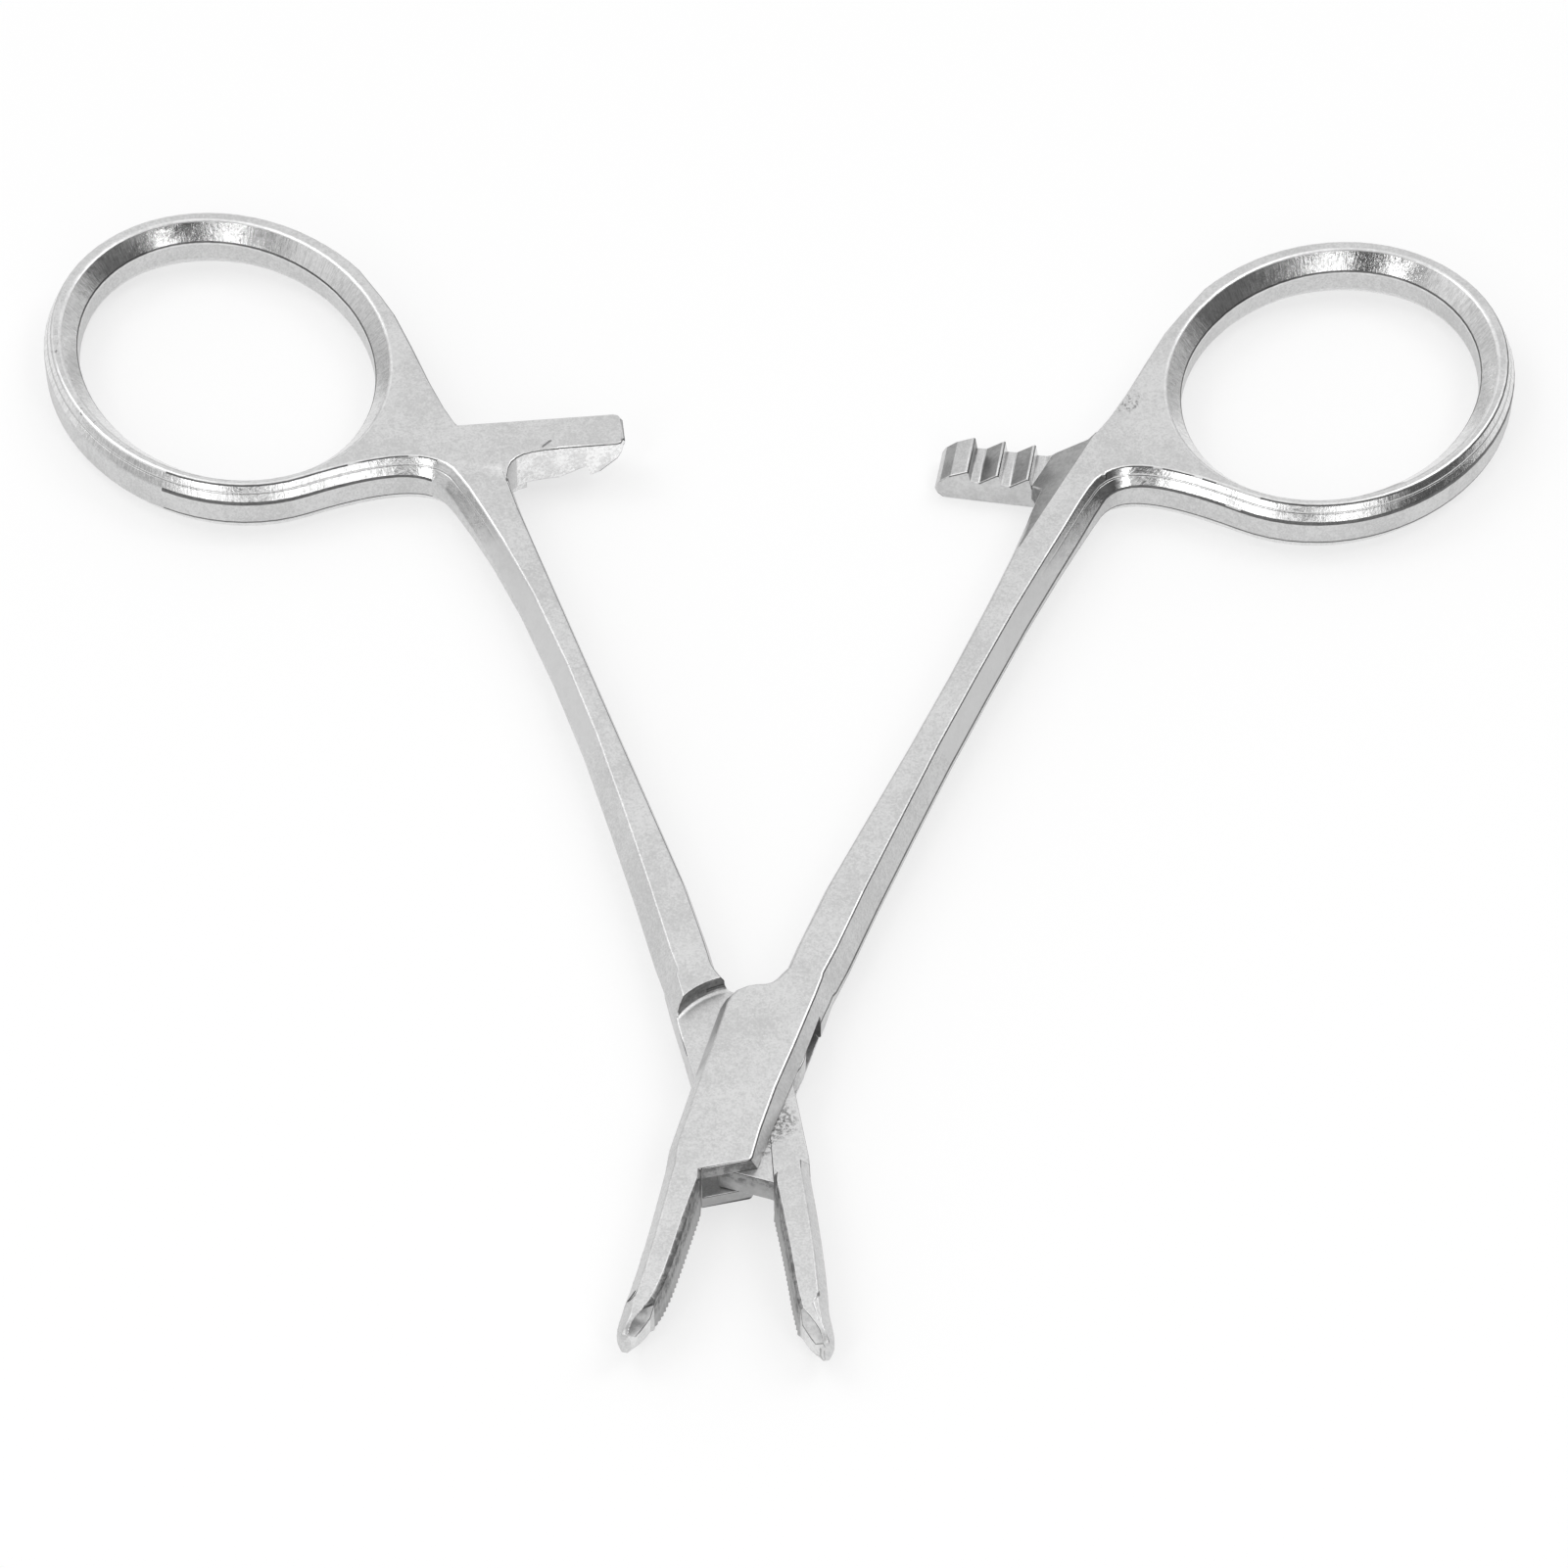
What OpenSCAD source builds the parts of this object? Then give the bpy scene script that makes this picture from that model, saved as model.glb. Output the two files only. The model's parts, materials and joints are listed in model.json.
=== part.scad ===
// Box lock hemostat forceps: a slotted half, a tongued half and a flush pivot pin.
// Each half is laid out with the jaws shut, then turned about the pivot into the open rest pose.

/* [Overall] */
// Pivot to jaw tip, jaws shut
jaw_len = 27.9; // [26:0.1:30]
// Pivot to finger ring centre, along the instrument
handle_len = 80.5; // [74:0.5:90]
// Thickness of the forging at the lock, shanks and rings
body_t = 4.6; // [4.2:0.05:5.4]
// How far each half is turned out from shut in the rest pose, degrees
rest_half_angle = 11.3; // [8:0.1:14]
// How far the handles splay outward beyond the jaws' line, degrees
handle_splay = 0.9; // [0.5:0.1:1.3]

/* [Finger rings] */
// Ring centre off the mating plane, jaws shut
ring_off = 28.9; // [27.5:0.1:31]
// Clear width of a finger hole
ring_hole_w = 23.2; // [21.5:0.1:24]
// Clear length of a finger hole
ring_hole_l = 28.6; // [26:0.1:30]
// Lean of the finger hole away from the shank, degrees
ring_lean = 17.5; // [13:0.1:22]
// Width of the ring bar
ring_bar_w = 2.8; // [2.5:0.05:3.2]
// How much longer the tongued half's finger hole was forged
male_hole_extra = 1.3; // [0:0.1:1.6]
// How much further from the pivot the slotted half's ring sits
female_ring_rise = 0.2; // [0:0.1:0.6]
// How much lower the tongued half's outer ring root lies
male_crotch_drop = 1; // [0:0.1:1.2]

/* [Shanks] */
// How far the slotted half's shank bows outward at mid length
female_bow = 0.5; // [0:0.05:0.7]
// How far the tongued half's shank bows inward at mid length
male_bow = 0.35; // [0:0.05:0.5]
// Metal dressed off the outer side of the tongued half's shank
male_shank_trim = 0.45; // [0:0.05:0.5]
// Outer bevel of a shank
shank_bevel_w = 1.05; // [0.7:0.05:1.3]
// Inner bevel of a shank
shank_inner_bevel = 0.35; // [0.2:0.05:0.5]

/* [Box lock] */
// Width of the lock across both cheeks' edges
box_w = 7.3; // [6.8:0.1:8]
// Pivot to the end of the cheeks
box_end = 12.8; // [12.2:0.05:13]
// Thickness of each cheek
cheek_t = 1.2; // [1.05:0.05:1.35]
// Radius of the shoulders the lock turns against
shoulder_r = 6.1; // [5.9:0.05:6.4]
// Radius of the round part of the tongue
tongue_r = 4.4; // [4.1:0.05:4.5]
// Hollow at the foot of the tongue's shoulder
shoulder_fillet = 0.55; // [0.3:0.05:0.6]
// Bevel along the box
box_bevel = 0.65; // [0.5:0.05:0.8]

/* [Jaws] */
// Width of a jaw at its root
jaw_w = 2.8; // [2.5:0.05:3.1]
// How far the line where the jaws meet lies off the pivot
mate_shift = 0.2; // [0:0.05:0.3]
// How far the slotted half's jaw end leans outward and the other's inward
tip_kick = 0.35; // [0:0.05:0.4]
// Height of a jaw where its end starts to round off
jaw_tip_h = 3.6; // [3:0.1:4]
// Spacing of the cross serrations
tooth_pitch = 0.47; // [0.44:0.01:0.56]
// Depth of the cross serrations
tooth_depth = 0.14; // [0.12:0.02:0.26]

/* [Ratchet] */
// Spacing of the ratchet teeth
ratchet_pitch = 2.48; // [2.3:0.02:2.6]
// Depth of the ratchet teeth
ratchet_depth = 1.05; // [0.8:0.05:1.15]
// Width of a ratchet arm along the instrument
ratchet_w = 3.5; // [3.1:0.1:4]
// Pivot to the middle of the ratchet arms
ratchet_y = 65.5; // [64.5:0.1:66.5]
// How far the tongued half's arm reaches past the mating plane, jaws shut
male_arm_reach = 1.7; // [1.4:0.1:1.9]
// How far short of the pivot line the slotted half's arm starts, jaws shut
female_arm_back = 0.5; // [0:0.05:0.7]
// Height of the tooth crests on the slotted half's arm
female_crest_h = 3.1; // [2.9:0.05:3.3]
// Slant of the ratchet arms, degrees
arm_slant = 3.5; // [2:0.5:5]

/* [Pivot pin] */
// Diameter of the pivot pin
pin_d = 2.4; // [2:0.1:3]

/* [Fits] */
// Gap between the tongue and each cheek
slot_clear = 0.05; // [0.03:0.01:0.1]
// Gap around the pin in the tongue, per side
pin_clear = 0.03; // [0.02:0.01:0.08]
// Gap between a shut jaw face and the mating plane
jaw_clear = 0.04; // [0.02:0.01:0.08]
// Gap between the cheeks' ends and the jaw shoulder, jaws shut
end_clear = 0.15; // [0.1:0.01:0.25]

/* [Hidden] */
$fn = 64;

half_t = body_t / 2;
male_hole_l = ring_hole_l + male_hole_extra;

// Shank stations: shares of handle_len, then of ring_off for the inner and outer edges
handle_y_shares = [0.092, 0.124, 0.199, 0.298, 0.398, 0.497, 0.596, 0.671, 0.720, 0.758, 0.777];
handle_in_shares = [0.036, 0.042, 0.063, 0.106, 0.150, 0.192, 0.232, 0.261, 0.277, 0.285, 0.290];
handle_out_shares = [0.172, 0.184, 0.203, 0.233, 0.266, 0.306, 0.352, 0.395, 0.427, 0.452, 0.466];
// Outer bevel in shank bevels and its share of half the thickness; inner bevel beside the slotted half's arm
handle_bevel_shares = [1, 1, 1, 1, 1, 1, 1, 1, 1.05, 1.1, 1.1];
handle_bevel_t_shares = [0.85, 0.88, 0.88, 0.88, 0.88, 0.88, 0.88, 0.85, 0.8, 0.72, 0.68];
scoop_shares = [0, 0, 0, 0, 0, 0, 0, 0, 0.5, 1.4, 2.2];
// Share of the tongued half's root drop
handle_drop_shares = [0, 0, 0, 0, 0, 0, 0, 0, 0.15, 0.4, 0.6];

// Inner edge of the web, from the ring down to the shank, and its share of the root drop
web_y_shares = [1.050, 1.019, 0.969, 0.919, 0.882, 0.861, 0.845, 0.832, 0.8211, 0.8130, 0.8062, 0.7988,
    0.789];
web_in_shares = [0.526, 0.498, 0.469, 0.442, 0.416, 0.396, 0.372, 0.352, 0.332, 0.314, 0.306, 0.302, 0.294];
web_drop_shares = [0, 0, 0, 0.2, 0.5, 0.7, 0.9, 1, 1, 1, 1, 1, 0.8];

// Where the loop round the hole starts and ends, where the curved root meets the ring, and where the ring
// meets the web, as angles of the finger hole
loop_start = 223;
root_end = 272;
web_start = 530;
root_steps = 14;
// Stations of the root and of the web between which the neck below the hole lies
neck_root = 3;
neck_web = 6;
ring_y_share = 0.996;
ring_step = 5;
// Outer bevel of the loop by hole angle: plan width in bar widths, then share of half the thickness
loop_bevel_w = [[215, 0.41], [240, 0.38], [262, 0.34], [300, 0.34], [360, 0.28], [420, 0.21], [470, 0.19],
    [510, 0.16], [535, 0.13], [575, 0.125]];
loop_bevel_t = [[215, 0.68], [245, 0.56], [300, 0.54], [500, 0.54], [535, 0.42], [575, 0.4]];

// Box stations: shares of box_end, then of box_w for the two edges
box_y_shares = [-0.857, -0.643, -0.321, 0, 0.125, 0.229, 0.291, 0.343, 0.387, 0.410, 0.424,
    0.447, 0.487, 0.536];
box_in_shares = [-0.384, -0.387, -0.390, -0.388, -0.384, -0.377, -0.350, -0.290, -0.190, -0.110, -0.020,
    0.040, 0.085, 0.120];
box_out_shares = [0.515, 0.530, 0.570, 0.608, 0.624, 0.636, 0.644, 0.650, 0.656, 0.658, 0.660, 0.662,
    0.665, 0.670];
box_bevel_shares = [1, 1, 1, 1, 1, 0.9, 0.8, 0.6, 0.5, 0.5, 0.5, 0.5, 0.5, 0.5];

// Jaw stations behind the serrations and round the tip: shares of jaw_len and of jaw_w
jaw_root_share = 0.478;
jaw_teeth_end_share = 0.895;
tip_y_shares = [1, 0.995, 0.982, 0.965, 0.945, 0.922];
tip_in_shares = [-0.720, -0.790, -0.850, -0.875, -0.880, -0.876];
tip_out_shares = [-0.550, -0.450, -0.340, -0.255, -0.180, -0.110];
tip_h_shares = [0.40, 0.58, 0.74, 0.86, 0.94, 0.98];
tip_bevel_shares = [0.2, 0.7, 1.4, 2.0, 2.3, 2.1];
tip_lip_shares = [0.2, 0.8, 2.0, 2.6, 2.6, 2.2];

jaw_root_y = -jaw_root_share * jaw_len;
teeth_end_y = -jaw_teeth_end_share * jaw_len;
jaw_bevel = 0.26 * jaw_w;
lip = 0.09 * jaw_w;
tip_ease = 0.08 * jaw_w;
tooth_count = floor((jaw_root_y - teeth_end_y) / tooth_pitch);

// Hole side of the ring bar: shares of the bar width out from the hole, and of half the thickness
hole_w_shares = [0.48, 0, 0, 0.48];
hole_t_shares = [1, 0.40, -0.40, -1];

function mix(a, b, s) = a + (b - a) * s;
function turn(p, a) = [p[0] * cos(a) - p[1] * sin(a), p[0] * sin(a) + p[1] * cos(a)];

// One cross-section: inner x, outer x, inner and outer bevel widths and depths, height, at y
function station(y, xi, xo, bi, bo, ci, co, h) =
    [for (p = [
        [xi + bi, h / 2],
        [xi, h / 2 - ci],
        [xi, ci - h / 2],
        [xi + bi, -h / 2],
        [xo - bo, -h / 2],
        [xo, co - h / 2],
        [xo, h / 2 - co],
        [xo - bo, h / 2]])
        [p[0], y, half_t + p[1]]];

// Outward set of the handles and box beyond the jaws' line
function splay(y) = y * tan(handle_splay);

// Sideways shift that brings the jaws' meeting line off the pivot, d is 1 or -1
function shift_at(y, d) = d * mate_shift * min(1, max(0, -y / box_end));

// Height of a jaw along its length, s running from the root to the tip
function jaw_h(s) = mix(body_t, jaw_tip_h, pow(s, 1.4));
function jaw_outer(s) = -jaw_w * mix(1, 0.86, s);

// Round end of a jaw, from the tip back to the last serration
function tip_stations(d) =
    [for (i = [0 : len(tip_y_shares) - 1])
        let (h = jaw_tip_h * tip_h_shares[i], o = d * (mate_shift + tip_kick))
        station(-jaw_len * tip_y_shares[i], jaw_w * tip_in_shares[i] + o,
            jaw_w * tip_out_shares[i] - jaw_clear + o,
            jaw_bevel * tip_bevel_shares[i] / 2, lip * tip_lip_shares[i],
            h * 0.36, h * 0.28, h)];

// Serrated length of a jaw; phase 1 starts on a crest, -1 in a root
function tooth_stations(d, phase) =
    [for (i = [0 : 2 * tooth_count])
        let (y = teeth_end_y + i * tooth_pitch / 2,
            s = (jaw_root_y - y) / (jaw_root_y - teeth_end_y),
            ease = tip_ease * pow(max(0, s - 0.7) / 0.3, 2),
            cut = phase * (i % 2 == 0 ? 1 : -1) * tooth_depth / 2,
            x = -jaw_clear - ease + cut,
            h = jaw_h(s),
            o = d * (mate_shift + tip_kick * s * s * s),
            edge = lip * (d < 0 ? mix(0.6, 1.5, min(1, 3 * s)) : mix(0.6, 1.1, s)))
        station(y, jaw_outer(s) + o, x + o, jaw_bevel, edge + cut, h * 0.3, edge * 0.8, h)];

// Root of the jaw and the sloping end of the cheeks
function root_stations(d) =
    [for (k = [0.3, 0])
        let (o = d * mate_shift)
        station(-box_end - lip * k, -jaw_w + o, (k == 0 ? 0 : -jaw_clear - tooth_depth / 2) + o,
            jaw_bevel, k == 0 ? lip / 3 : lip, body_t * 0.28, k == 0 ? lip / 3 : lip, body_t)];

// Where the box's bevel runs out through the sloping end of the cheeks
function cheek_stations(d) =
    let (y0 = box_end * box_y_shares[0],
        o = shift_at(y0, d) + splay(y0),
        out = box_w * box_out_shares[0] + o,
        u = 1 - box_out_bevel(0) / out)
    [station(mix(-box_end, y0, u), mix(-jaw_w + d * mate_shift, box_w * box_in_shares[0] + o, u),
        mix(d * mate_shift, out, u), box_bevel, lip / 3, body_t * 0.22, lip / 3, body_t)];

// Bevel along the box's handle side, narrower towards the end of the cheeks
function box_out_bevel(i) = box_bevel * 1.35 * mix(0.45, 1, min(1, i / 2));

function box_stations(d) =
    [for (i = [0 : len(box_y_shares) - 1])
        let (y = box_end * box_y_shares[i], o = shift_at(y, d) + splay(y))
        station(y, box_w * box_in_shares[i] + o, box_w * box_out_shares[i] + o,
            box_bevel * box_bevel_shares[i], box_out_bevel(i),
            body_t * 0.22 * box_bevel_shares[i], body_t * mix(0.25, 0.4, i / len(box_y_shares)), body_t)];

function bow_at(s, bow) = s < 1 ? bow * sin(180 * pow(s, 1.5)) : 0;

function handle_stations(bow, trim, drop, scoop) =
    [for (i = [0 : len(handle_y_shares) - 1])
        let (y0 = handle_len * handle_y_shares[i],
            s = handle_y_shares[i] / 0.82,
            o = bow_at(s, bow) + splay(y0))
        station(y0 - drop * handle_drop_shares[i], ring_off * handle_in_shares[i] + o,
            ring_off * handle_out_shares[i] + o - bow_at(s, trim),
            shank_inner_bevel * (1 + scoop * scoop_shares[i]), shank_bevel_w * handle_bevel_shares[i],
            body_t * 0.2, half_t * handle_bevel_t_shares[i], body_t)];

function blade_stations(bow, trim, drop, scoop, d, phase) = concat(
    tip_stations(d),
    tooth_stations(d, phase),
    root_stations(d),
    cheek_stations(d),
    box_stations(d),
    handle_stations(bow, trim, drop, scoop));

// A point of the finger hole and its outward direction, t in degrees, for a hole of length l
function ring_c(rise) = [ring_off + splay(handle_len), handle_len * ring_y_share + rise];
function hole_point(t, l, rise) =
    ring_c(rise) + turn([ring_hole_w / 2 * cos(t), l / 2 * sin(t)], -ring_lean);
function hole_normal(t, l) =
    let (v = [l * cos(t), ring_hole_w * sin(t)])
    turn(v / norm(v), -ring_lean);
function bar_point(t, l, rise) = hole_point(t, l, rise) + ring_bar_w * hole_normal(t, l);

function bezier(p, q, r, w, u) =
    pow(1 - u, 3) * p + 3 * u * pow(1 - u, 2) * q + 3 * u * u * (1 - u) * r + u * u * u * w;

// Outer edge in plan, each with its hole angle: up the shank, round the curved root and the ring, and down
// the web's inner edge; last is the shank's final cross-section
function loop_path(last, before, drop, l, rise) =
    let (a = [last[6][0], last[6][1]],
        up = a - [before[6][0], before[6][1]],
        e = bar_point(root_end, l, rise),
        n = hole_normal(root_end, l),
        q = a + up / norm(up) * (0.115 * ring_off - drop / 2),
        r = e + [n[1], -n[0]] * 0.22 * ring_off)
    concat(
        [for (i = [1 : root_steps - 1])
            let (u = i / root_steps)
            [mix(loop_start, root_end, u), bezier(a, q, r, e, u)]],
        [for (t = [root_end : ring_step : web_start]) [t, bar_point(t, l, rise)]],
        [for (i = [0 : len(web_y_shares) - 1])
            let (y0 = handle_len * web_y_shares[i],
                s = web_y_shares[i] / 0.82)
            [mix(web_start + 3, loop_start + 360, (i + 0.5) / len(web_y_shares)),
                [ring_off * web_in_shares[i] + splay(y0) + bow_at(s, 0), y0 - drop * web_drop_shares[i]]]]);

function hole_side(t, l, rise) =
    [for (j = [0 : 3])
        let (p = hole_point(t, l, rise) + ring_bar_w * hole_w_shares[j] * hole_normal(t, l))
        [p[0], p[1], half_t + half_t * hole_t_shares[j]]];

// Outer side of a loop station at plan point p with outward direction n
function edge_side(t, p, n) =
    let (w = ring_bar_w * lookup(t, loop_bevel_w),
        z = half_t * (1 - lookup(t, loop_bevel_t)),
        q = p - w * n)
    [[q[0], q[1], 0], [p[0], p[1], half_t - z], [p[0], p[1], half_t + z], [q[0], q[1], body_t]];

function outward(a, b) = let (v = (b - a) / norm(b - a)) [v[1], -v[0]];

// One half's forging in the flat: cross-sections up to the web, joined to the loop round the finger hole
module forging(rows, drop, l, rise) {
    n = len(rows[0]);
    k = len(rows);
    last = rows[k - 1];
    path = loop_path(last, rows[k - 2], drop, l, rise);
    m = len(path) + 1;
    ends = concat([[last[6][0], last[6][1]]], [for (p = path) p[1]], [[last[1][0], last[1][1]]]);
    loop = [for (i = [0 : m - 2])
        let (t = path[i][0])
        concat(hole_side(t, l, rise), edge_side(t, path[i][1], outward(ends[i], ends[i + 2])))];
    base = n * k;
    function at(i, j) =
        j < 4 ? (i == 0 || i == m ? base + n * (m - 1) + j : base + n * (i - 1) + j)
            : i == 0 ? n * (k - 1) + j
            : i == m ? n * (k - 1) + 7 - j
            : base + n * (i - 1) + j;
    turns = floor((web_start - root_end) / ring_step);
    ring_last = root_steps + turns;
    cloud = concat(
        [for (r = rows) for (p = r) p],
        [for (r = loop) for (p = r) p],
        hole_side(loop_start, l, rise));
    function spot(v) = cloud[at(v[0], v[1])];
    function true_turn(a, b, c) =
        let (p = spot(a), q = spot(b), r = spot(c))
        (q[0] - p[0]) * (r[1] - p[1]) < (q[1] - p[1]) * (r[0] - p[0]);
    // Triangles between two chains of points in a flat, each step taking the shorter true one
    function stitch(c, d, i, j) =
        i == len(c) - 1 && j == len(d) - 1 ? [] :
        let (by_c = j == len(d) - 1 ? true : i == len(c) - 1 ? false :
                !true_turn(c[i], c[i + 1], d[j]) ? false : !true_turn(d[j], c[i], d[j + 1]) ? true :
                norm(spot(c[i + 1]) - spot(d[j])) < norm(spot(d[j + 1]) - spot(c[i])))
        by_c
            ? concat([[c[i], c[i + 1], d[j]]], stitch(c, d, i + 1, j))
            : concat([[d[j], c[i], d[j + 1]]], stitch(c, d, i, j + 1));
    neck_end = ring_last + 1 + neck_web;
    flats = concat(
        stitch([for (i = [0 : root_steps]) [i, 0]], [for (i = [neck_root : root_steps]) [i, 7]], 0, 0),
        stitch([for (i = [ring_last : m]) [i, 0]], [for (i = [ring_last : neck_end]) [i, 7]], 0, 0),
        stitch([for (i = [neck_root : -1 : 0]) [i, 7]], [for (i = [neck_end : m]) [i, 7]], 0, 0),
        [[[0, 0], [neck_root, 7], [neck_end, 7]]]);
    polyhedron(
        points = cloud,
        faces = concat(
            [[for (j = [0 : n - 1]) n - 1 - j]],
            [for (i = [0 : k - 2]) for (j = [0 : n - 1])
                [i * n + j, i * n + (j + 1) % n, (i + 1) * n + j]],
            [for (i = [0 : k - 2]) for (j = [0 : n - 1])
                [i * n + (j + 1) % n, (i + 1) * n + (j + 1) % n, (i + 1) * n + j]],
            [for (i = [0 : m - 1]) for (j = [0 : n - 1])
                if (j % 4 != 3 || (i >= root_steps && i < ring_last))
                [at(i, (j + 1) % n), at(i + 1, (j + 1) % n), at(i, j)]],
            [for (i = [0 : m - 1]) for (j = [0 : n - 1])
                if (j % 4 != 3 || (i >= root_steps && i < ring_last))
                [at(i, j), at(i + 1, (j + 1) % n), at(i + 1, j)]],
            [for (f = flats) [for (v = f) at(v[0], v[1])]],
            [for (f = flats) [for (i = [2, 1, 0]) at(f[i][0], f[i][1] == 0 ? 3 : 4)]]));
}

// Arm carried along the instrument from a side-on outline of x and z, inside a plan outline
module arm(outline, w, front) {
    translate([splay(ratchet_y), ratchet_y, 0])
        rotate([0, 0, arm_slant])
            translate([0, w - ratchet_w / 2 - front, 0])
                rotate([90, 0, 0])
                    linear_extrude(w)
                        polygon(outline);
}

arm_root_x = 0.36 * ring_off;
arm_deep_x = 0.46 * ring_off;
arm_skin = 0.004 * body_t;
arm_top = body_t - arm_skin;
crest_flat = 0.06 * ratchet_pitch;
steep_run = 0.16 * ratchet_pitch;
valley_run = 0.28 * ratchet_pitch;

// Slotted half's arm: teeth on its upper side, ramps rising from the tip, steep faces to the shank
module female_arm() {
    top = female_crest_h;
    low = female_crest_h - ratchet_depth;
    first = 0.82 * ratchet_pitch;
    back = -female_arm_back;
    root = first + 2 * ratchet_pitch + steep_run + valley_run;
    arm(concat(
        [[mix(back, first, 0.3), arm_skin], [mix(back, first, 0.1), low * 0.2], [back, low * 0.45]],
        [[mix(back, first, 0.14), mix(low * 0.45, top, 0.35)],
            [mix(back, first, 0.5), mix(low * 0.45, top, 0.72)]],
        [for (k = [0 : 2]) for (q = [
            [0, top],
            [crest_flat, top],
            [steep_run, low],
            [steep_run + valley_run, low]])
            [first + k * ratchet_pitch + q[0], q[1]]],
        [for (k = [1 : 6]) let (a = 15 * k)
            [mix(root, arm_root_x * 1.03, a / 90), mix(low, arm_top, pow(a / 90, 1.4))]],
        [[arm_deep_x, arm_top], [arm_deep_x, arm_skin]]), ratchet_w * 1.18, ratchet_w * 0.1);
}

// Tongued half's arm: teeth on its underside, a long lead-in under the tip
module male_arm() {
    crest = body_t - female_crest_h * 1.05;
    deep = crest + ratchet_depth * 0.85;
    first = 0.5 * ratchet_pitch;
    reach = -male_arm_reach;
    arm(concat(
        [[arm_deep_x, arm_top], [reach + crest_flat, arm_top]],
        [[reach, body_t * 0.96], [reach, body_t * 0.87]],
        [[mix(reach, first, 0.22), mix(body_t * 0.87, crest, 0.4)],
            [mix(reach, first, 0.72), mix(body_t * 0.87, crest, 0.9)]],
        [for (k = [0 : 2]) for (q = [
            [-crest_flat, crest],
            [0, crest],
            [steep_run * 0.4, deep],
            [steep_run, deep]])
            [first + k * ratchet_pitch + q[0], q[1]]],
        [[first + 2.8 * ratchet_pitch, crest * 0.9],
            [arm_root_x * 0.93, arm_skin],
            [arm_deep_x, arm_skin]]), ratchet_w, 0);
}

// Rounded corner between the tongued half's arm and its shank
module arm_gusset() {
    r = 0.62 * ratchet_w;
    x = 0.298 * ring_off + splay(ratchet_y);
    y = ratchet_y - ratchet_w * 0.44 + 0.27 * ratchet_w * arm_slant / 6;
    translate([0, 0, arm_skin])
    linear_extrude(arm_top - arm_skin)
        polygon(concat(
            [[x + r / 2, y + r / 2], [x - r, y + r / 2], [x - r, y]],
            [for (k = [1 : 5]) let (a = 18 * k) [x - r + r * sin(a), y - r + r * cos(a)]],
            [[x + r / 2, y - r]]));
}

// Plan of everything swept by the other half inside the lock, with its straight jaw shoulder
zone_side = 2 * box_w;
module lock_zone(clear) {
    end_y = -box_end - clear;
    slope = 0.465;
    polygon([
        [-zone_side, 0],
        [-zone_side, end_y + slope * zone_side],
        [-jaw_w * 1.2, end_y + slope * jaw_w * 1.2],
        [0, end_y],
        [zone_side, end_y],
        [zone_side, 0]]);
}

// Disc with a hollow round its foot, to leave a concave shoulder
module shoulder_disc(h) {
    f = shoulder_fillet;
    rotate_extrude($fn = 96)
        polygon(concat(
            [[0, 0], [shoulder_r - f, 0]],
            [for (k = [1 : 5]) let (a = 18 * k) [shoulder_r - f + f * sin(a), f * (1 - cos(a))]],
            [[shoulder_r, h], [0, h]]));
}

tongue_low = cheek_t + slot_clear;
tongue_top = body_t - cheek_t - slot_clear;
over = body_t / 4;

// Everything above the tongue that is ground away
module tongue_relief() {
    translate([0, 0, tongue_top]) {
        linear_extrude(cheek_t + slot_clear + over)
            lock_zone(end_clear);
        shoulder_disc(cheek_t + slot_clear + over);
    }
}

module slotted_half() {
    difference() {
        union() {
            forging(blade_stations(female_bow, 0, 0, 1, -1, 1), 0, ring_hole_l, female_ring_rise);
            female_arm();
        }
        translate([0, 0, cheek_t])
            linear_extrude(body_t - 2 * cheek_t)
                lock_zone(end_clear);
        translate([0, 0, cheek_t])
            cylinder(h = body_t - 2 * cheek_t, r = shoulder_r, $fn = 96);
        translate([0, 0, -over])
            cylinder(h = body_t + 2 * over, d = pin_d);
    }
}

module tongued_half() {
    difference() {
        union() {
            forging(blade_stations(-male_bow, male_shank_trim, male_crotch_drop, 0, 1, -1),
                male_crotch_drop, male_hole_l, 0);
            translate([0, 0, tongue_low])
                cylinder(h = tongue_top - tongue_low, r = tongue_r, $fn = 96);
            male_arm();
            arm_gusset();
        }
        tongue_relief();
        translate([0, 0, body_t])
            mirror([0, 0, 1])
                tongue_relief();
        translate([0, 0, -over])
            cylinder(h = body_t + 2 * over, r = pin_d / 2 + pin_clear);
    }
}

// The rings' reach to each side and above, and the lowest tip point, set the pivot's place at rest
rest_tilt = -rest_half_angle;
function ring_reach(l, rise, k) = max([for (t = [root_end : ring_step : web_start])
    turn(bar_point(t, l, rise), rest_tilt)[k]]);
function tip_bottom(d) = min([for (r = tip_stations(d)) for (p = r) turn([p[0], p[1]], rest_tilt)[1]]);
female_side = ring_reach(ring_hole_l, female_ring_rise, 0);
male_side = ring_reach(male_hole_l, 0, 0);
ring_high = max(ring_reach(ring_hole_l, female_ring_rise, 1), ring_reach(male_hole_l, 0, 1));
tip_low = min(tip_bottom(-1), tip_bottom(1));
pivot_x = (male_side - female_side) / 2;
pivot_y = -(ring_high + tip_low) / 2;

module female_half() {
    color([0.76, 0.77, 0.78])
        translate([pivot_x, pivot_y, 0])
            rotate([0, 0, -rest_half_angle])
                slotted_half();
}

module male_half() {
    color([0.72, 0.73, 0.75])
        translate([pivot_x, pivot_y, 0])
            rotate([0, 0, rest_half_angle])
                mirror([1, 0, 0])
                    tongued_half();
}

module pivot_pin() {
    color([0.8, 0.81, 0.82])
        translate([pivot_x, pivot_y, 0])
            cylinder(h = body_t, d = pin_d);
}

female_half();
male_half();
pivot_pin();
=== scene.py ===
"""Box lock hemostat forceps in satin and polished steel, lying half open on white."""

import json
import math

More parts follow.
